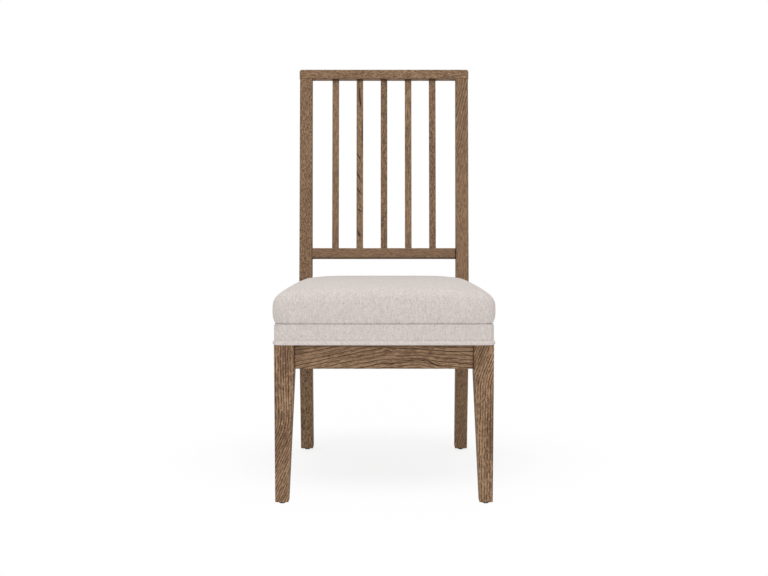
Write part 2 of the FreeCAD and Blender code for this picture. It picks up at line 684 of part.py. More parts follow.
def staple_with_holes(name, x, y, lengthwise):
    # A staple under the dust cover, its crown along Y where lengthwise, and the holes that its prongs make.
    under = "Dims.frame_top - Dims.dust_thickness"
    wire = "Dims.staple_wire"
    hole_wire = f"({wire} + 2 * Dims.hole_gap)"
    hole_sizes = (hole_wire, hole_wire, "Dims.staple_depth + Dims.hole_end_gap")
    crown = (wire, "Dims.staple_width") if lengthwise else ("Dims.staple_width", wire)
    staple = new_body(name)
    add_block(staple, (f"{x} - {crown[0]} / 2", f"{y} - {crown[1]} / 2", f"{under} - {wire}"), (*crown, wire))
    made = []
    for end in (-1, 1):
        step = f"{end} * (Dims.staple_width - {wire}) / 2"
        prong_x = x if lengthwise else f"({x} + {step})"
        prong_y = f"({y} + {step})" if lengthwise else y
        add_block(staple, (f"{prong_x} - {wire} / 2", f"{prong_y} - {wire} / 2", under),
                  (wire, wire, "Dims.staple_depth"))
        hole_corner = (f"{prong_x} - {hole_wire} / 2", f"{prong_y} - {hole_wire} / 2", under)
        made.append(box(f"{name}_hole_{end + 1}", hole_corner, hole_sizes))
    return staple, made


dust_right = ((dust_half_front, dust_front), (dust_edge(dust_front_side), dust_front_side),
              (dust_edge(dust_rear_side), dust_rear_side), (dust_half_rear, dust_rear))
dust_left = tuple((f"-{x}", y) for x, y in reversed(dust_right))
dust = new_body("DustCover")
pad_polygon(dust, "XY_Plane", dust_right + dust_left, "Dims.dust_thickness")
place(dust, ("0", "0", "Dims.frame_top - Dims.dust_thickness"))

staples = []
staple_holes = []
side_middle = f"(({dust_front_side} + {dust_rear_side}) / 2)"
side_half = f"(({dust_rear_side} - {dust_front_side}) / 2)"
for number, way_along in enumerate((-1, 0, 1), start=1):
    share = f"({way_along} * Dims.staple_spread)"
    side_y = f"({side_middle} + {share} * {side_half})"
    side_x = f"({dust_edge(side_y)} - Dims.staple_inset)"
    spots = {
        "front": (f"({share} * {dust_half_front})", f"({dust_front} + Dims.staple_inset)", False),
        "rear": (f"({share} * {dust_half_rear})", f"({dust_rear} - Dims.staple_inset)", False),
        "left": (f"(-{side_x})", side_y, True),
        "right": (side_x, side_y, True),
    }
    for edge_name, (x, y, lengthwise) in spots.items():
        staple, prong_holes = staple_with_holes(f"staple_{edge_name}_{number}", x, y, lengthwise)
        staples.append(staple)
        staple_holes += prong_holes
keep("dust_cover_staples", gather("staple_group", staples))
keep("dust_cover", cut("DustCoverPierced", dust, staple_holes))

deck = seat_prism("Deck", "Dims.deck_offset", "Dims.frame_top", "Dims.deck_thickness")
keep("seat_deck", cut("DeckDrilled", deck, [outer_notch] + seat_holes + staple_holes))

doc.recompute()
failed = [thing.Name for thing in doc.Objects if {"Invalid", "Error"} & set(thing.State)]
broken = [node for node, thing in pieces.items()
          if thing.Shape.isNull() or not thing.Shape.isValid() or not thing.Shape.Solids]
if failed or broken:
    raise RuntimeError(f"failed features {failed}, broken pieces {broken}")

os.makedirs("parts", exist_ok=True)
for node, thing in pieces.items():
    thing.Shape.exportStep(f"parts/{node}.step")
    print(f"{node}: {len(thing.Shape.Solids)} solids, {thing.Shape.Volume / 1000:.1f} cm3")
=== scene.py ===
import json
import math

import bpy
import numpy as np
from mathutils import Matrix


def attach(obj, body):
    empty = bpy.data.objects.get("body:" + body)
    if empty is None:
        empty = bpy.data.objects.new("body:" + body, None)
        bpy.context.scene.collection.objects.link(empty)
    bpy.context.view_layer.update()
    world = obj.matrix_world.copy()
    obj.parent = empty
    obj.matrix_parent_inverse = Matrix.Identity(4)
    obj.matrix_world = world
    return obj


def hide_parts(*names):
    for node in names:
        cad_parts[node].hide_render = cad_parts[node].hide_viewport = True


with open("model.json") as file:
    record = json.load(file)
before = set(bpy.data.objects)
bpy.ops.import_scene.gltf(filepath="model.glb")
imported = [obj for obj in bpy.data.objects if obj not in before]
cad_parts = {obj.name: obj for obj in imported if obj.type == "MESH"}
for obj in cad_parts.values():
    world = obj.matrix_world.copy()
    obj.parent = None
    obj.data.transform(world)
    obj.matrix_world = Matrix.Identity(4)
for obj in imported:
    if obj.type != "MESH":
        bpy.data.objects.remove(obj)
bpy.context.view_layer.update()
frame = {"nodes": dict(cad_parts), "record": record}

scene = bpy.context.scene
scene.view_settings.view_transform = "Standard"
print("frame:", len(frame["nodes"]), "nodes")

# Camera
view = {
    "place": (0.0, -2.3315, 0.602),
    "tiltDown": 4.5,             # degrees
    "focal": 985.0,              # in pixels of the picture
    "middleRow": 297.6,          # row of the picture that the lens points at
    "picture": (768, 576),
    "sensor": 36.0,
}
lens = bpy.data.cameras.new("camera")
lens.sensor_width = view["sensor"]
lens.lens = view["focal"] * view["sensor"] / view["picture"][0]
lens.shift_y = (view["middleRow"] - view["picture"][1] / 2) / view["picture"][0]
camera = bpy.data.objects.new("camera", lens)
camera.location = view["place"]
camera.rotation_euler = (math.radians(90 - view["tiltDown"]), 0, 0)
scene.collection.objects.link(camera)
scene.camera = camera
print("camera set")


class Value:
    # A socket of a node tree. Arithmetic on it adds Math nodes.
    def __init__(self, tree, socket):
        self.tree = tree
        self.socket = socket

    def math(self, operation, *values):
        return self.tree.node("ShaderNodeMath", {"operation": operation}, values)

    def __add__(self, other):
        return self.math("ADD", self, other)

    def __radd__(self, other):
        return self.math("ADD", other, self)

    def __sub__(self, other):
        return self.math("SUBTRACT", self, other)

    def __rsub__(self, other):
        return self.math("SUBTRACT", other, self)

    def __mul__(self, other):
        return self.math("MULTIPLY", self, other)

    def __rmul__(self, other):
        return self.math("MULTIPLY", other, self)

    def __truediv__(self, other):
        return self.math("DIVIDE", self, other)

    def __pow__(self, other):
        return self.math("POWER", self, other)

    def __abs__(self):
        return self.math("ABSOLUTE", self)

    def least(self, other):
        return self.math("MINIMUM", self, other)

    def most(self, other):
        return self.math("MAXIMUM", self, other)

    def over(self, limit):
        return self.math("GREATER_THAN", self, limit)

    def floor(self):
        return self.math("FLOOR", self)

    def fract(self):
        return self.math("FRACT", self)

    def sine(self):
        return self.math("SINE", self)

    def bell(self):
        # e to the power of minus the square
        return self.math("EXPONENT", self * self * -1.0)

    def ease(self, limit, soft):
        # What the value has over limit, with the corner rounded off
        return self.math("SMOOTH_MAX", self - limit, 0.0, soft)


class Tree:
    # The nodes of a material or of the world
    def __init__(self, owner):
        self.owner = owner
        owner.use_nodes = True
        owner.node_tree.nodes.clear()

    def node(self, kind, settings=None, sockets=(), out=0):
        tree = self.owner.node_tree
        made = tree.nodes.new(kind)
        for key, value in (settings or {}).items():
            setattr(made, key, value)
        for key, value in sockets.items() if isinstance(sockets, dict) else enumerate(sockets):
            if isinstance(value, Value):
                tree.links.new(value.socket, made.inputs[key])
            else:
                made.inputs[key].default_value = value
        return Value(self, made.outputs[out]) if len(made.outputs) else None

    def seen(self):
        # 1 for what the camera sees, straight or by way of glossy or clear surfaces, and 0 for other light
        kinds = ("Camera", "Glossy", "Transmission")
        straight, glossy, clear = (self.node("ShaderNodeLightPath", out=f"Is {kind} Ray") for kind in kinds)
        return straight.most(glossy).most(clear)


class Finish(Tree):
    # The nodes of one material. The seed of a noise moves it along each axis by (slope, start).
    seedMove = ((1.0, 0.0), (0.7, 3.1), (-1.0, 5.3))

    def __init__(self, name):
        super().__init__(bpy.data.materials.new(name))
        self.where = self.node("ShaderNodeTexCoord", out="Object")

    def split(self, vector):
        first = self.node("ShaderNodeSeparateXYZ", {}, [vector])
        return [Value(self, socket) for socket in first.socket.node.outputs]

    def join(self, x, y, z):
        return self.node("ShaderNodeCombineXYZ", {}, [x, y, z])

    def noise(self, scale, seed, detail, rough, where=None):
        # Noise about 0.5, with scale features to the metre along each axis
        moved = [seed * slope + start for slope, start in self.seedMove]
        placed = self.node("ShaderNodeMapping", {}, {
            "Vector": where or self.where, "Location": moved, "Scale": scale})
        return self.node("ShaderNodeTexNoise", {}, {
            "Vector": placed, "Scale": 1.0, "Detail": detail, "Roughness": rough})

    def rise(self, value, low, high):
        # From 0 at low to 1 at high, with soft ends
        return self.node("ShaderNodeMapRange", {"interpolation_type": "SMOOTHSTEP"},
                         [value, low, high, 0.0, 1.0])

    def mix(self, share, first, second):
        # Sockets 6 and 7 and output 2 of the node are those for colours
        return self.node("ShaderNodeMix", {"data_type": "RGBA"}, {0: share, 6: first, 7: second}, 2)

    def done(self, color, roughness, height, relief, **fixed):
        bump = self.node("ShaderNodeBump", {}, {"Height": height, "Distance": relief})
        sockets = {"Base Color": color, "Roughness": roughness, "Normal": bump}
        sockets.update({key.replace("_", " "): value for key, value in fixed.items()})
        shader = self.node("ShaderNodeBsdfPrincipled", {}, sockets)
        self.node("ShaderNodeOutputMaterial", {}, {"Surface": shader})
        return self.owner


def tint(color, tone=1.0):
    # A picture's colour, 0 to 255, made linear by the sRGB curve, and lighter or darker by tone
    share = np.array(color) / 255
    linear = np.where(share <= 0.04045, share / 12.92, ((share + 0.055) / 1.055) ** 2.4)
    return (*(linear * tone).tolist(), 1.0)


# Oak. One figure for each piece, because no two pieces of the chair show the same grain.
oakFigure = {
    "axis": "z",                 # that the fibres follow
    "turn": 22.0,                # of the growth rings against the face, degrees
    "pitch": 0.0062,             # from ring to ring
    "slant": 0.0,                # run of the rings off the piece's length, across for each metre along
    "sway": 0.010,               # slow wander of the rings
    "ripple": 0.0022,            # quick wander
    "lines": 0.95,               # darkness of the early wood
    "vary": 0.4,                 # how much of it some rings lack
    "calm": (),                  # (along, half length, share): a stretch that lacks a share of it
    "steady": 0.25,              # share of that darkness that doesn't break up along a line
    "early": 0.42,               # the early wood's share of a ring
    "stipple": 0.3,              # darkness of loose pores
    "streak": 0.62,              # share of the fibres in the body's light and dark, beside slow clouds
    "soft": 0.1,                 # how gently the body goes from light to dark
    "tone": 1.0,
    "kinks": (),                 # (from, slope): the rings turn off where along passes from
    "humps": (),                 # (across, along, half width, half length, height)
    "knots": (),                 # the same, with a dark middle
    "marks": (),                 # (across, along, half width, half length, slope, darkness): dark marks of the grain, and painted shade on some pieces
    "seed": 0.0,
}
oakNoise = {                     # features to the metre across the fibres and along them, detail, roughness
    "sway": (24, 5, 2.0, 0.6), "ripple": (130, 40, 3.0, 0.6), "broken": (160, 90, 2.0, 0.6),
    "pores": (600, 170, 2.0, 0.6), "loose": (400, 210, 2.0, 0.65), "fibre": (480, 80, 3.0, 0.65),
    "cloud": (26, 8, 3.0, 0.6),
}
oakShow = {                      # where a noise starts to tell, and where it tells in full
    "broken": (0.36, 0.56), "pores": (0.44, 0.6), "loose": (0.47, 0.64),
}
oakMake = {                      # the same for all pieces
    "seedStep": 7.0,             # from the seed of one noise to the next one's
    "setIn": 0.07,               # share of a ring over which its early wood sets in
    "kinkSoft": 0.03,            # length over which a kink turns
    "knotDark": 0.6, "knotPower": 4.0,
    "linePores": 0.45,           # share of the pores in what breaks up a line
    "finePores": 0.14,           # darkness of pores between the lines
    "rough": 0.6, "darkRough": 0.16,
    "fibreRelief": 0.25, "relief": 0.00035,
    "shine": 0.22,
}
oakTones = {"light": (164, 132, 102), "mid": (115, 88, 65), "dark": (52, 35, 23)}
rake = {"from": 0.406, "soft": 0.02, "slope": math.tan(math.radians(7.1))}        # of the back


def oak(name, figure, tones):
    # Rings are planes square to (across, depth) turned by "turn", moved by slants, kinks, humps, knots and
    # noise. A ring starts with dark open pores and fades into light late wood. The fibres bend with the
    # rings.
    look = {**oakFigure, **oakMake, **figure}
    axis = "xyz".index(look["axis"])
    f = Finish(name)
    x, y, z = f.split(f.where)
    leaned = y - z.ease(rake["from"], rake["soft"]) * rake["slope"]
    across, depth, along = ((z, y, x), (z, x, y), (x, leaned, z))[axis]
    bent = across - along * look["slant"]
    for start, slope in look["kinks"]:
        bent = bent - along.ease(start, look["kinkSoft"]) * slope
    dark = along * 0.0
    for hump in look["humps"] + look["knots"]:
        acrossAt, alongAt, wide, long, height = hump
        near = ((along - alongAt) / long).bell() * ((across - acrossAt) / wide).bell()
        bent = bent - near * height
        if hump in look["knots"]:
            dark = dark + near ** look["knotPower"] * look["knotDark"]
    # marks darken the wood: some are grain, some are painted shade
    for acrossAt, alongAt, wide, long, slope, strength in look["marks"]:
        off = along - alongAt
        dark = dark + (off / long).bell() * ((across - acrossAt - off * slope) / wide).bell() * strength
    flow = f.join(*((along, depth, bent), (depth, along, bent), (bent, depth, along))[axis])

    def grain(kind):
        wide, long, detail, rough = oakNoise[kind]
        scale = [long if i == axis else wide for i in range(3)]
        seed = look["seed"] + look["seedStep"] * list(oakNoise).index(kind)
        return f.noise(scale, seed, detail, rough, flow)

    turn = math.radians(look["turn"])
    place = bent * math.cos(turn) + depth * math.sin(turn)
    place = place + (grain("sway") - 0.5) * look["sway"] + (grain("ripple") - 0.5) * look["ripple"]
    rings = place / look["pitch"]
    ring = rings.fract()
    lack = f.node("ShaderNodeTexWhiteNoise", {"noise_dimensions": "1D"}, {"W": rings.floor() + look["seed"]})
    early = f.rise(ring, 0.0, look["setIn"]) * (1 - f.rise(ring, look["setIn"], look["early"]))
    early = early * (1 - lack * look["vary"])
    for alongAt, long, share in look["calm"]:
        early = early * (1 - ((along - alongAt) / long).bell() * share)
    broken = f.rise(grain("broken"), *oakShow["broken"])
    pores = f.rise(grain("pores"), *oakShow["pores"])
    loose = f.rise(grain("loose"), *oakShow["loose"])
    gaps = broken * (1 - look["linePores"]) + pores * look["linePores"]
    line = early * (gaps * (1 - look["steady"]) + look["steady"]) * look["lines"]
    dark = dark.most(line).most(loose * look["stipple"] + pores * look["finePores"])
    fibre = grain("fibre")
    light = f.rise(fibre * look["streak"] + grain("cloud") * (1 - look["streak"]),
                   0.5 - look["soft"], 0.5 + look["soft"])
    body = f.mix(light, tint(tones["mid"], look["tone"]), tint(tones["light"], look["tone"]))
    color = f.mix(dark.least(1.0), body, tint(tones["dark"], look["tone"]))
    height = dark * -1.0 + fibre * look["fibreRelief"]
    return f.done(color, dark * look["darkRough"] + look["rough"], height, look["relief"],
                  Specular_IOR_Level=look["shine"])


paintedShadeUnderCrest = (0.0, 0.968, 1.0, 0.0065, 0.0, 1.0)     # painted shade at the top of each slat, where the crest above shades it
oakPieces = {
    "front_leg_left": {
        "pitch": 0.0046, "turn": 30, "sway": 0.005, "lines": 2.6, "steady": 0.12, "stipple": 0.4,
        "soft": 0.08, "seed": 3.0, "slant": 0.45, "kinks": ((0.17, -0.45),), "tone": 1.20},
    "front_leg_right": {
        "pitch": 0.0047, "turn": -32, "sway": 0.005, "lines": 2.9, "steady": 0.12, "stipple": 0.4,
        "soft": 0.08, "seed": 11.0, "kinks": ((0.265, 0.42),), "calm": ((0.08, 0.15, 0.3),), "tone": 1.20},
    "front_apron": {
        "axis": "x", "pitch": 0.0080, "turn": 10, "sway": 0.013, "ripple": 0.0018, "lines": 2.4,
        "steady": 0.6, "early": 0.26, "vary": 0.65, "stipple": 0.12, "streak": 0.85, "seed": 21.0,
        "slant": 0.2, "kinks": ((0.0, -0.24),),
        "humps": ((0.286, 0.070, 0.030, 0.036, 0.011),),
        "knots": ((0.329, 0.006, 0.0045, 0.008, 0.005),),
        "marks": (
            # the first mark is painted shade along the top of the apron, under the welt; the rest are dark
            # lines of the grain
            (0.3395, 0.0, 0.0055, 10.0, 0.0, 0.45), (0.3000, 0.020, 0.0014, 0.017, 0.34, 0.9),
            (0.3072, 0.055, 0.0014, 0.018, 0.08, 1.0), (0.3068, 0.083, 0.0015, 0.012, -0.12, 1.0),
            (0.3022, 0.100, 0.0018, 0.008, -0.55, 1.1), (0.2960, 0.113, 0.0015, 0.010, -0.4, 0.9))},
    "rear_apron": {
        "axis": "x", "pitch": 0.0075, "seed": 27.0, "steady": 0.5,
        "humps": ((0.29, -0.05, 0.06, 0.09, 0.016),)},
    "side_apron_left": {
        "axis": "y", "pitch": 0.0072, "seed": 33.0, "slant": 0.06, "steady": 0.5,
        "humps": ((0.29, 0.05, 0.06, 0.12, 0.014),)},
    "side_apron_right": {
        "axis": "y", "pitch": 0.008, "seed": 41.0, "slant": -0.05, "steady": 0.5,
        "humps": ((0.29, -0.09, 0.06, 0.1, 0.015),)},
    "back_post_left": {
        "pitch": 0.009, "turn": 62, "lines": 0.3, "stipple": 0.66, "streak": 0.85, "soft": 0.075,
        "seed": 47.0, "tone": 1.01},
    "back_post_right": {
        "pitch": 0.0062, "turn": 20, "lines": 1.6, "vary": 0.5, "steady": 0.4, "early": 0.36,
        "stipple": 0.12, "streak": 0.85, "soft": 0.15, "seed": 53.0, "sway": 0.007, "slant": 0.24,
        "kinks": ((0.29, -0.29), (0.72, 0.29)), "calm": ((0.60, 0.14, 1.0), (0.17, 0.2, 0.65)), "tone": 0.95},
    "crest_rail": {
        "axis": "x", "pitch": 0.008, "turn": 50, "lines": 0.3, "stipple": 0.5, "streak": 0.85,
        "seed": 59.0, "tone": 1.03},
    "lower_back_rail": {
        "axis": "x", "pitch": 0.0045, "turn": 40, "lines": 0.25, "stipple": 0.12, "streak": 0.85,
        "soft": 0.2, "seed": 61.0, "tone": 0.88,
        # both marks are painted shade: between the rail's right end and the post, and along the rail's lower
        # edge
        "marks": ((0.5165, 0.1848, 0.02, 0.0022, 0.0, 1.1), (0.5040, 0.0, 0.0026, 10.0, 0.0, 0.8))},
    "back_slat_1": {
        "pitch": 0.007, "turn": 50, "lines": 0.25, "stipple": 0.15, "streak": 0.85, "soft": 0.17,
        "seed": 67.0, "tone": 0.91, "marks": (paintedShadeUnderCrest,)},
    "back_slat_2": {
        "pitch": 0.008, "turn": 40, "lines": 0.5, "stipple": 0.2, "streak": 0.85, "seed": 71.0, "tone": 0.98,
        "marks": (
            paintedShadeUnderCrest,
            (-0.0635, 0.930, 0.0025, 0.030, -0.06, 1.0), (-0.0610, 0.905, 0.0016, 0.012, -0.1, 1.0),
            (-0.0555, 0.825, 0.0018, 0.050, 0.0, 1.0), (-0.0655, 0.766, 0.0020, 0.009, -0.6, 1.3),
            (-0.0660, 0.716, 0.0022, 0.011, -0.5, 1.3), (-0.0655, 0.678, 0.0020, 0.010, -0.6, 1.3),
            (-0.0625, 0.627, 0.0026, 0.004, -1.0, 1.3), (-0.0640, 0.566, 0.0026, 0.009, -0.4, 1.2))},
    "back_slat_3": {
        "pitch": 0.009, "turn": 55, "lines": 0.25, "stipple": 0.66, "streak": 0.85, "soft": 0.075,
        "seed": 79.0, "tone": 0.91, "marks": (paintedShadeUnderCrest,)},
    "back_slat_4": {
        "pitch": 0.0056, "turn": 25, "lines": 0.75, "stipple": 0.16, "streak": 0.85, "seed": 83.0,
        "slant": 0.06, "tone": 0.99, "marks": (paintedShadeUnderCrest,)},
    "back_slat_5": {
        "pitch": 0.009, "turn": 58, "lines": 0.25, "stipple": 0.6, "streak": 0.85, "seed": 89.0,
        "tone": 0.92, "marks": (paintedShadeUnderCrest,)},
}


# Linen with thick and thin threads and dark flecks
linenLook = {
    "light": (224, 216, 211), "deep": (200, 190, 185), "fleck": (150, 137, 131),
    "thread": 0.0011,            # from thread to thread
    "seed": 5.0,
    "noises": {                  # features to the metre, seed, detail, roughness and share in the thickness
        "warp": ((500, 110, 1), 0, 2.0, 0.6, 0.85), "weft": ((130, 560, 1), 9, 2.0, 0.6, 0.6),
        "patch": ((70, 70, 1), 4, 3.0, 0.6, 0.1), "fine": ((1100, 1100, 1), 2, 1.0, 0.5, 0.45)},
    "weaveLight": 0.04, "lightRise": (0.74, 1.30),
    "flecks": ((380, 330, 1), 17, 1.0, 0.4), "fleckRise": (0.63, 0.77),
    "rough": 0.92, "weaveRelief": 0.3, "relief": 0.00022,
    "sheen": 0.2, "sheenRough": 0.5, "shine": 0.2,
}


def linen(name, flecked, tone):
    # Two sets of threads cross on the piece's own flat cloth, in metres. Their thickness wanders along each
    # thread, and where both are thick the cloth stands up.
    look = linenLook
    f = Finish(name)
    cloth = f.node("ShaderNodeAttribute", {"attribute_name": "cloth"}, out="Vector")

    def fuzz(scale, seed, detail, rough):
        return f.noise(scale, look["seed"] + seed, detail, rough, cloth)

    u, v, _ = f.split(cloth)
    turns = 2 * math.pi / look["thread"]
    weave = (u * turns).sine() * (v * turns).sine()
    thick = sum(fuzz(*noise) * share for *noise, share in look["noises"].values())
    light = f.rise(thick + weave * look["weaveLight"], *look["lightRise"])
    flecks = f.rise(fuzz(*look["flecks"]), *look["fleckRise"])
    color = f.mix(light, tint(look["deep"], tone), tint(look["light"], tone))
    color = f.mix(flecks * flecked, color, tint(look["fleck"], tone))
    return f.done(color, look["rough"], thick + weave * look["weaveRelief"], look["relief"],
                  Sheen_Weight=look["sheen"], Sheen_Roughness=look["sheenRough"],
                  Specular_IOR_Level=look["shine"])


# Plain hardwood of the blocks and dowels
plainTones = {"light": (214, 184, 143), "mid": (196, 163, 120), "dark": (150, 116, 78)}
plainFigure = {"lines": 0.35, "stipple": 0.12, "pitch": 0.006}

plywoodLook = {
    "light": (207, 177, 136), "deep": (186, 153, 112), "core": (134, 101, 68),
    "ply": 0.002, "coreShare": 0.6,
    "faceNormal": 0.6,           # a face that points up or down by more than this isn't an edge
    "grain": ((6, 300, 300), 2.0, 3.0, 0.6), "grainRise": (0.35, 0.7),
    "rough": 0.7, "relief": 0.0001,
}


def plywood(name, look):
    # Plies lie one over another, so their edges show as bands of height, and the faces show fine grain
    f = Finish(name)
    z = f.split(f.where)[2]
    edge = 1 - abs(f.split(f.node("ShaderNodeTexCoord", out="Normal"))[2]).over(look["faceNormal"])
    ply = (z / look["ply"]).fract().over(0.5) * edge
    grain = f.rise(f.noise(*look["grain"]), *look["grainRise"])
    color = f.mix(grain, tint(look["deep"]), tint(look["light"]))
    color = f.mix(ply * look["coreShare"], color, tint(look["core"]))
    return f.done(color, look["rough"], grain, look["relief"])


# Finishes of small or hidden pieces
patchLooks = {
    "dustCloth": {               # black pressed fibres, crossed at random
        "from": (22, 22, 23), "to": (48, 47, 47), "rise": (0.38, 0.66),
        "noises": (((900, 120, 1), 3.0, 3.0, 0.7), ((120, 900, 1), 8.0, 3.0, 0.7)),
        "rough": 0.9, "patchRough": 0.0, "relief": 0.0002, "metal": 0.0},
    "glidePlastic": {            # dark moulded plastic, scuffed
        "from": (24, 18, 15), "to": (44, 35, 30), "rise": (0.5, 0.75),
        "noises": (((260, 260, 90), 4.0, 4.0, 0.65),),
        "rough": 0.42, "patchRough": 0.25, "relief": 0.0001, "metal": 0.0},
    "steel": {                   # bright wire and screw heads, slightly dulled
        "from": (190, 189, 186), "to": (140, 138, 134), "rise": (0.35, 0.75),
        "noises": (((700, 700, 90), 6.0, 3.0, 0.6),),
        "rough": 0.28, "patchRough": 0.25, "relief": 0.00005, "metal": 1.0},
}


def patched(name):
    # Patches of a second colour, where the mean of the noises is high. They stand up, and may be rougher.
    look = patchLooks[name]
    f = Finish(name)
    noises = [f.noise(*noise) for noise in look["noises"]]
    patch = f.rise(sum(noises) / len(noises), *look["rise"])
    color = f.mix(patch, tint(look["from"]), tint(look["to"]))
    rough = patch * look["patchRough"] + look["rough"] if look["patchRough"] else look["rough"]
    return f.done(color, rough, patch, look["relief"], Metallic=look["metal"])


slotOf = {part["node"]: part["material_slot"] for part in frame["record"]["subparts"]}
shared = {
    "plain_hardwood": oak("plainHardwood", plainFigure, plainTones),
    "plywood": plywood("plywood", plywoodLook),
    "dust_cloth": patched("dustCloth"),
    "glide_plastic": patched("glidePlastic"),
    "steel": patched("steel"),
}
for node, piece in frame["nodes"].items():
    if slotOf[node] == "oak":
        finish = oak(node.replace("_", "") + "Oak", oakPieces[node], oakTones)
    else:
        finish = shared.get(slotOf[node])
    if finish:                   # the upholstery's nodes have none, since modelled pieces replace them
        piece.data.materials.clear()
        piece.data.materials.append(finish)
linenFinish = linen("linen", flecked=0.7, tone=1.0)
weltFinish = linen("weltLinen", flecked=0.25, tone=1.04)
print("finishes made:", len(bpy.data.materials))


# Surfaces
def layCloth(mesh, cloth):
    # Where each point lies on the flat cloth that the weave is drawn on
    place = np.zeros((len(mesh.vertices), 3))
    place[:, :2] = cloth.reshape(-1, 2)
    layer = mesh.attributes.new("cloth", "FLOAT_VECTOR", "POINT")
    layer.data.foreach_set("vector", place.ravel())


def makePiece(name, points, faces, finish, cloth=None):
    # Faces of a closed surface are turned outwards by the sign of its volume
    points, faces = points.reshape(-1, 3), np.asarray(faces)
    a, b, c, d = (points[faces[:, i]] for i in range(4))
    volume = np.sum(np.cross(a, b) * c) + np.sum(np.cross(a, c) * d)
    if volume < 0:
        faces = faces[:, ::-1]
    mesh = bpy.data.meshes.new(name)
    mesh.from_pydata(points.tolist(), [], faces.tolist())
    mesh.validate()
    if cloth is not None:
        layCloth(mesh, cloth)
    mesh.shade_smooth()
    mesh.materials.append(finish)
    piece = bpy.data.objects.new(name, mesh)
    scene.collection.objects.link(piece)
    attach(piece, "root")
    return piece


def gridFaces(rows, columns, wrapRows=False, wrapColumns=False):
    # Four-sided faces between the points of a grid, whose last row or column may join its first
    steps = [np.arange(rows - (not wrapRows)), np.arange(columns - (not wrapColumns))]
    i, j = np.meshgrid(*steps, indexing="ij")
    i, j = i.ravel(), j.ravel()
    nextI, nextJ = (i + 1) % rows, (j + 1) % columns
    return np.stack([i * columns + j, nextI * columns + j, nextI * columns + nextJ, i * columns + nextJ], 1)


def roundedPath(corners, radii, spacing, closed=True):
    # Straight runs joined by arcs that touch both, as points with their normals to the right of the way
    corners, count = np.asarray(corners, float), len(corners)
    fewest = 3                   # points of an arc
    arcs, normals = [], []
    for k, radius in enumerate(radii):
        here = corners[k]
        into, out = here - corners[k - 1], corners[(k + 1) % count] - here
        if not closed and k in (0, count - 1):
            way = out if k == 0 else into
            way = way / np.linalg.norm(way)
            arcs.append(here[None])
            normals.append(np.array([[way[1], -way[0]]]))
            continue
        into, out = into / np.linalg.norm(into), out / np.linalg.norm(out)
        turn = math.atan2(into[0] * out[1] - into[1] * out[0], into @ out)
        right, side = np.array([into[1], -into[0]]), math.copysign(radius, turn)
        centre = here - into * radius * math.tan(abs(turn) / 2) - right * side
        angle = np.linspace(0, turn, max(fewest, math.ceil(abs(turn) * radius / spacing) + 1))
        normal = np.stack([right[0] * np.cos(angle) - right[1] * np.sin(angle),
                           right[0] * np.sin(angle) + right[1] * np.cos(angle)], 1)
        arcs.append(centre + normal * side)
        normals.append(normal)
    points, ways = [], []
    for k in range(count):
        points.append(arcs[k])
        ways.append(normals[k])
        if closed or k < count - 1:
            start, end = arcs[k][-1], arcs[(k + 1) % count][0]
            steps = max(1, math.ceil(np.linalg.norm(end - start) / spacing))
            share = np.linspace(0, 1, steps + 1)[1:-1, None]
            points.append(start + (end - start) * share)
            ways.append(np.repeat(normals[k][-1:], len(share), 0))
    return np.concatenate(points), np.concatenate(ways)


seatPlan = {
    "front": -0.2815, "rear": 0.2215,
    "halfFront": 0.2302, "halfRear": 0.217,
    "corner": 0.012,
    "postInner": 0.1852, "postFront": 0.1879,        # the posts with the gap that the cloth leaves
}


def seatOutline(grow, corner, look):
    # The seat plan grown outwards, notched round the two posts, counterclockwise from the front left
    front, rear = seatPlan["front"] - grow, seatPlan["rear"] + grow
    halfFront, halfRear = seatPlan["halfFront"] + grow, seatPlan["halfRear"] + grow - look["rearIn"]
    postX, postY = seatPlan["postInner"] - look["notchIn"], seatPlan["postFront"] - look["notchIn"]
    sideX = halfFront + (halfRear - halfFront) * (postY - front) / (rear - front)
    right = [(halfFront, front), (sideX, postY), (postX, postY), (postX, rear)]
    corners = [(-halfFront, front)] + right + [(-x, y) for x, y in reversed(right[1:])]
    notch = [look["fold"], look["inside"], look["fold"]]
    return roundedPath(corners, [corner, corner] + notch + notch, look["spacing"])


# Cushion: a crowned top with rolled shoulders over sides that are drawn in at the seam
cushion = {
    "grow": 0.0059, "rearIn": 0.0031, "corner": 0.020,   # outline against the seat plan
    "notchIn": 0.0, "fold": 0.007, "inside": 0.005,      # round the posts
    "peak": 0.4627, "middleY": -0.043,                   # height of the crown, and where it is
    "fallX": 0.0108, "powerX": 5.4,                      # from the crown to the sides
    "fallY": 0.0041, "powerY": 2.7,                      # and to the front and rear
    "shoulder": 0.0400, "drop": 0.0355, "roll": 2.80,    # its width, height and roundness
    "seam": 0.3844, "tuck": 0.0062, "tuckTop": 0.406, "tuckPower": 1.9,
    "spacing": 0.004, "rayMiddle": (0.0, -0.03), "rayPower": 0.9,
    "topRings": 64, "sideRings": 14, "bottomRings": 30,
    "start": 0.0005,             # the foam is this much smaller than the form
    "cap": 0.0006,               # and the cloth stands off it by no more than this
    "pressure": 1.0, "frames": 20,
    "voxel": 0.005,
    "hold": 0.012,               # height above the seam over which the cloth comes free
    "sewn": 0.1,                 # share of that height that is sewn down
    "evenPasses": 3, "evenShare": 0.5,
}


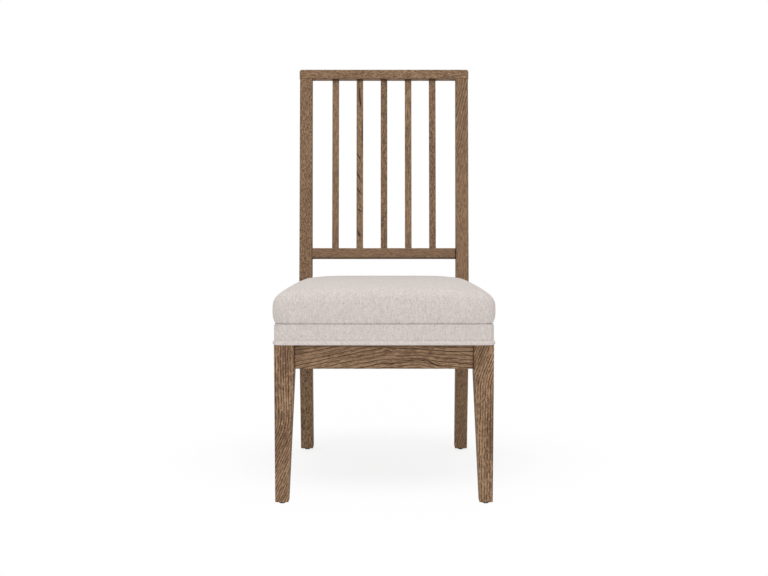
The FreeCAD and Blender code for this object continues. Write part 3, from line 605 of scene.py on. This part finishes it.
def cushionGrid(look):
    # Top: points on rays from the middle to the outline, whose height falls with |x|, with |y| and, over the
    # shoulder's width, with a superellipse of the distance to the outline. Sides: the outline at falling
    # heights, drawn in by a power of the depth under tuckTop. Bottom: the last outline shrunk to the middle.
    edge, normal = seatOutline(look["grow"], look["corner"], look)
    middle = np.array(look["rayMiddle"])
    share = np.sin(np.linspace(0, math.pi / 2, look["topRings"])) ** look["rayPower"]
    flat = middle + (edge - middle) * share[:, None, None]
    gap = np.stack([np.sqrt(((row[:, None] - edge[None]) ** 2).sum(2)).min(1) for row in flat])
    x, y = flat[..., 0], flat[..., 1]
    front, rear = seatPlan["front"] - look["grow"], seatPlan["rear"] + look["grow"]
    half = seatPlan["halfFront"] + look["grow"] + \
        (seatPlan["halfRear"] - look["rearIn"] - seatPlan["halfFront"]) * (y - front) / (rear - front)
    u = np.minimum(np.abs(x) / half, 1)
    v = np.where(y < look["middleY"], (look["middleY"] - y) / (look["middleY"] - front),
                 (y - look["middleY"]) / (rear - look["middleY"]))
    level = look["peak"] - look["fallX"] * u ** look["powerX"]
    level = level - look["fallY"] * np.clip(v, 0, 1) ** look["powerY"]
    near = np.clip(1 - gap / look["shoulder"], 0, 1) ** look["roll"]
    level = level - look["drop"] * (1 - (1 - near) ** (1 / look["roll"]))
    top = np.dstack([flat, level])
    down = np.linspace(0, 1, look["sideRings"])[1:, None]
    sideZ = level[-1] + (look["seam"] - level[-1]) * down
    under = np.clip((look["tuckTop"] - sideZ) / (look["tuckTop"] - look["seam"]), 0, 1) ** look["tuckPower"]
    sides = np.dstack([edge - normal * (look["tuck"] * under)[..., None], sideZ])
    inward = np.linspace(1, 0, look["bottomRings"])[1:, None, None]
    foot = middle + (sides[-1, :, :2] - middle) * inward
    bottom = np.dstack([foot, np.full(foot.shape[:2], look["seam"])])
    return np.concatenate([top, sides, bottom])


def fillCushion(piece, look):
    # The remeshed form starts as small as the foam and is blown up as cloth sewn down at the seam. The foam
    # keeps the cloth from going inwards, so each point keeps only its move along its normal, from nothing up
    # to the cap.
    mesh = piece.data
    mesh.remesh_voxel_size = look["voxel"]
    bpy.context.view_layer.objects.active = piece
    bpy.ops.object.voxel_remesh()
    full, normal = np.zeros((2, len(mesh.vertices), 3))
    mesh.vertices.foreach_get("co", full.ravel())
    mesh.vertices.foreach_get("normal", normal.ravel())
    free = np.clip((full[:, 2] - look["seam"]) / look["hold"], 0, 1)[:, None]
    shape = full
    small = full - normal * look["start"] * free
    mesh.vertices.foreach_set("co", small.ravel())
    sewn = piece.vertex_groups.new(name="sewn")
    sewn.add(np.flatnonzero(free[:, 0] < look["sewn"]).tolist(), 1.0, "REPLACE")
    cloth = piece.modifiers.new("fill", "CLOTH")
    cloth.settings.use_pressure = True
    cloth.settings.uniform_pressure_force = look["pressure"]
    cloth.settings.vertex_group_mass = sewn.name
    cloth.settings.effector_weights.gravity = 0.0
    cloth.point_cache.frame_start, cloth.point_cache.frame_end = 1, look["frames"]
    for number in range(1, look["frames"] + 1):
        scene.frame_set(number)
    filled = piece.evaluated_get(bpy.context.evaluated_depsgraph_get()).data
    moved = np.zeros((len(filled.vertices), 3))
    filled.vertices.foreach_get("co", moved.ravel())
    piece.modifiers.remove(cloth)
    piece.vertex_groups.clear()
    scene.frame_set(1)
    out = np.clip(((moved - small) * normal).sum(1, keepdims=True), 0, look["cap"])
    shape = small + normal * out * free
    print("cushion filled:", len(shape), "points, mean move", round(float(out.mean()) * 1000, 2), "mm")
    edges = np.zeros((len(mesh.edges), 2), np.int32)
    mesh.edges.foreach_get("vertices", edges.ravel())
    for _ in range(look["evenPasses"]):      # evens out the steps that the voxels leave
        total, count = np.zeros_like(shape), np.zeros((len(shape), 1))
        for one, other in (edges.T, edges.T[::-1]):
            np.add.at(total, one, shape[other])
            np.add.at(count, one, 1)
        shape = shape + (total / count - shape) * look["evenShare"]
    mesh.vertices.foreach_set("co", shape.ravel())
    mesh.update()
    mesh.shade_smooth()
    # The cloth is flat on top and laid down the sides: a point moves out along its level normal by its drop
    mesh.vertices.foreach_get("normal", normal.ravel())
    tiny = 1e-6
    out = normal[:, :2] / np.maximum(np.linalg.norm(normal[:, :2], axis=1, keepdims=True), tiny)
    layCloth(mesh, shape[:, :2] + out * (look["peak"] - shape[:, 2:]))


grid = cushionGrid(cushion)
seatTop = makePiece("seatCushion", grid, gridFaces(*grid.shape[:2], wrapColumns=True), linenFinish)
fillCushion(seatTop, cushion)
soften = seatTop.modifiers.new("soften", "SUBSURF")
soften.levels = soften.render_levels = 1
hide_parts("seat_cover", "seat_foam")
print("cushion made")

# Band between the seam and the welt
band = {
    "outer": 0.0016, "half": 0.0042,     # outside against the seat plan, and half its thickness
    "rearIn": 0.0, "fold": 0.006, "inside": 0.005,
    "bottom": 0.3470, "top": 0.3850,
    "upperRound": 4.6, "lowerRound": 5.0,
    "points": 44, "spacing": 0.004,
}


def alongPath(path):
    # Length from the start of the path to each of its points
    return np.concatenate([[0], np.cumsum(np.linalg.norm(np.diff(path, axis=0), axis=1))])


def roundSection(halfWide, halfHigh, look):
    # A superellipse as (out, up), with one power above and another below, from the inside all the way round
    angle = np.linspace(-math.pi, math.pi, look["points"], endpoint=False)
    power = np.where(np.sin(angle) > 0, look["upperRound"], look["lowerRound"])
    reach = (np.abs(np.cos(angle)) ** power + np.abs(np.sin(angle)) ** power) ** (-1 / power)
    return np.stack([halfWide * reach * np.cos(angle), halfHigh * reach * np.sin(angle)], 1)


def bandGrid(look):
    # The section carried round the outline. Both ends of its cloth meet out of sight: along the outline in
    # the notch of a post, and round the section on the inside.
    grow = look["outer"] - look["half"]
    edge, normal = seatOutline(grow, seatPlan["corner"] + grow, {**look, "notchIn": look["half"]})
    start = -int(np.argmin(np.hypot(edge[:, 0] - seatPlan["postInner"], edge[:, 1] - seatPlan["postFront"])))
    edge, normal = np.roll(edge, start, 0), np.roll(normal, start, 0)
    middle, half = (look["top"] + look["bottom"]) / 2, (look["top"] - look["bottom"]) / 2
    section = roundSection(look["half"], half, look)
    flat = edge[:, None] + normal[:, None] * section[None, :, :1]
    level = np.broadcast_to(middle + section[:, 1], flat.shape[:2])
    cloth = np.dstack(np.broadcast_arrays(alongPath(edge)[:, None], alongPath(section)))
    return np.dstack([flat, level]), cloth


grid, cloth = bandGrid(band)
seatBand = makePiece("seatBand", grid, gridFaces(*grid.shape[:2], True, True), linenFinish, cloth)
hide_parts("seat_band")

# Welt: a bias-cut roll round the foot of the seat, in two lengths
welt = {
    "wide": 0.0049, "high": 0.0049,      # half its depth and height
    "upperRound": 1.9, "lowerRound": 3.2,
    "offset": -0.0001, "level": 0.3452,
    "points": 24, "spacing": 0.0025,
    "endRings": 5, "tip": 0.02,          # at each end, and the size of the last one
}


def weltGrid(path, normal, look):
    # The section carried along the path, closed at both ends by rings that shrink as a ball does. Its cloth
    # is cut at 45 degrees, so both threads wind round the roll.
    section = roundSection(look["wide"], look["high"], look)
    swell = np.sin(np.linspace(0, math.pi / 2, look["endRings"]))
    swell[0] = look["tip"]
    size = np.ones(len(path))
    size[:len(swell)], size[-len(swell):] = swell, swell[::-1]
    flat = path[:, None] + normal[:, None] * (size[:, None] * section[:, 0])[..., None]
    along, around = np.broadcast_arrays(alongPath(path)[:, None], alongPath(section))
    cloth = np.dstack([along + around, along - around]) * math.sqrt(0.5)
    return np.dstack([flat, look["level"] + size[:, None] * section[:, 1]]), cloth


def weltPiece(name, corners, radii, node):
    path, normal = roundedPath(corners, radii, welt["spacing"], closed=False)
    grid, cloth = weltGrid(path, normal, welt)
    piece = makePiece(name, grid, gridFaces(*grid.shape[:2], wrapColumns=True), weltFinish, cloth)
    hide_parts(node)


halfFront, front = seatPlan["halfFront"] + welt["offset"], seatPlan["front"] - welt["offset"]
halfRear, rear = seatPlan["halfRear"] + welt["offset"], seatPlan["rear"] + welt["offset"]
halfPost = halfFront + (halfRear - halfFront) * (seatPlan["postFront"] - front) / (rear - front)
weltCorner = seatPlan["corner"] + welt["offset"]
weltFront = [(-halfPost, seatPlan["postFront"]), (-halfFront, front),
             (halfFront, front), (halfPost, seatPlan["postFront"])]
weltRear = [(seatPlan["postInner"], rear), (-seatPlan["postInner"], rear)]
weltPiece("seatWelt", weltFront, [0, weltCorner, weltCorner, 0], "seat_welt")
weltPiece("seatWeltRear", weltRear, [0, 0], "seat_welt_rear")
print("band and welt made")

# Dust cover: thin cloth stapled up under the deck, slack by a few millimetres
dust = {
    "right": ((0.1169, -0.2465), (0.1940, -0.1745), (0.1848, 0.124), (0.1138, 0.196)),
    "corner": 0.002, "spacing": 0.008,
    "level": 0.3394, "sag": 0.003, "sagPower": 4,
    "rings": 24, "inner": 0.001,         # and the size of the last one
}


def dustGrid(look):
    # The cut shrunk towards its middle in rings, hanging by sag times one minus a power of the ring's size
    corners = list(look["right"]) + [(-x, y) for x, y in reversed(look["right"])]
    edge, _ = roundedPath(corners, [look["corner"]] * len(corners), look["spacing"])
    middle = edge.mean(0)
    ring = np.linspace(1, look["inner"], look["rings"])
    flat = middle + (edge - middle) * ring[:, None, None]
    hang = look["level"] - look["sag"] * (1 - ring ** look["sagPower"])
    level = np.broadcast_to(hang[:, None], flat.shape[:2])
    turned = np.roll(edge, -1, 0)
    area = abs(np.sum(edge[:, 0] * turned[:, 1] - edge[:, 1] * turned[:, 0])) / 2
    return np.dstack([flat, level]), np.ptp(edge, axis=0), area


grid, cut, cutArea = dustGrid(dust)
dustCover = makePiece("dustCover", grid, gridFaces(*grid.shape[:2], wrapColumns=True), shared["dust_cloth"])
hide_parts("dust_cover")
print("dust cover made:", np.round(cut, 4).tolist(), round(float(cutArea), 4))

# Floor and light
studio = {
    "half": 30.0,
    "shade": 0.15, "contact": 0.025,     # shares of the floor's picture that take light and shade
    "shadeMiddle": 0.16,         # middle of the first one, behind the chair's own
    "shadeHalf": (0.50, 0.32), "shadeEdge": (0.5, 1.3),          # its half sizes, and where it runs out
    "near": (1.2, 2.2),          # radii between which the other one does
    "floor": (250, 250, 250), "white": (1, 1, 1, 1),
    "ambient": 0.62,
    "aim": (0.0, 0.0, 0.45),     # of the lamps
}
floorMesh = bpy.data.meshes.new("floor")
half = studio["half"]
corners = [(-half, -half, 0), (half, -half, 0), (half, half, 0), (-half, half, 0)]
floorMesh.from_pydata(corners, [], [(0, 1, 2, 3)])
floor = bpy.data.objects.new("floor", floorMesh)
scene.collection.objects.link(floor)
f = Finish("floorPaint")
x, y, _ = f.split(f.where)
offX, offY = x / studio["shadeHalf"][0], (y - studio["shadeMiddle"]) / studio["shadeHalf"][1]
under = 1 - f.rise((offX * offX + offY * offY) ** 0.5, *studio["shadeEdge"])
near = 1 - f.rise((x * x + y * y) ** 0.5, *studio["near"])
paint = f.node("ShaderNodeBsdfDiffuse", {}, {"Color": tint(studio["floor"])})
white = f.node("ShaderNodeEmission", {}, {"Color": studio["white"], "Strength": 1.0})
glow = f.seen() * (1 - under * studio["shade"] - near * studio["contact"])
f.node("ShaderNodeOutputMaterial", {}, {"Surface": f.node("ShaderNodeMixShader", {}, [glow, paint, white])})
floorMesh.materials.append(f.owner)

sky = Tree(bpy.data.worlds.new("studio"))
strength = sky.seen() * (1 - studio["ambient"]) + studio["ambient"]
back = sky.node("ShaderNodeBackground", {}, {"Color": studio["white"], "Strength": strength})
sky.node("ShaderNodeOutputWorld", {}, {"Surface": back})
scene.world = sky.owner

lamps = {
    "top": {"place": (-0.05, -0.5, 3.2), "size": 3.0, "power": 35.0},
    "front": {"place": (-0.1, -3.3, 1.7), "size": 2.4, "power": 24.0},
}
for name, lamp in lamps.items():
    light = bpy.data.lights.new(name, "AREA")
    light.shape, light.size, light.energy = "DISK", lamp["size"], lamp["power"]
    holder = bpy.data.objects.new(name, light)
    holder.location = lamp["place"]
    # A lamp shines straight down until it is tilted up from there, and then turned to the aim's side
    aim = np.array(studio["aim"]) - np.array(lamp["place"])
    holder.rotation_euler = (math.atan2(math.hypot(aim[0], aim[1]), -aim[2]), 0, math.atan2(-aim[0], aim[1]))
    scene.collection.objects.link(holder)
print("floor and lamps set")
